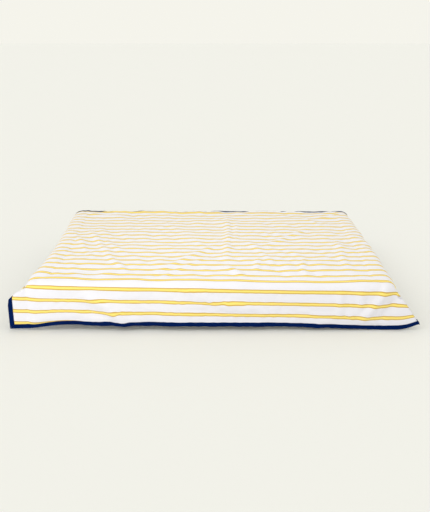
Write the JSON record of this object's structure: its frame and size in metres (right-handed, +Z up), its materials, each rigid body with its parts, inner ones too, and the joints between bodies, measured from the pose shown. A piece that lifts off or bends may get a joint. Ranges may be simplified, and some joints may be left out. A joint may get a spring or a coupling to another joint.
{
  "type": "duvet",
  "caption": "Thin bound duvet with narrow stripes across it, lying over the foot of a bed, with its foot edge and both sides hanging.",
  "frame": {"origin": "on the underside, at the middle of the panel that lies on the mattress", "axes": "+Z up, +Y towards the head of the bed, -Y towards its foot, +X to the right as seen from the foot"},
  "size_m": [2.1244, 1.5295, 0.2685],
  "materials": {
    "face_cloth": "white plain-weave cotton with yellow stripes edged in darker gold",
    "wadding": "off-white bonded fibre wadding",
    "back_cloth": "plain white cotton",
    "binding": "navy blue woven cotton tape",
    "thread": "navy blue sewing thread"
  },
  "bodies": {
    "root": {"face_cloth": "face_cloth", "wadding": "wadding", "back_cloth": "back_cloth", "binding_foot": "binding", "binding_head": "binding", "binding_left": "binding", "binding_right": "binding", "stitching_foot": "thread", "stitching_head": "thread", "stitching_left": "thread", "stitching_right": "thread"}
  },
  "joints": []
}
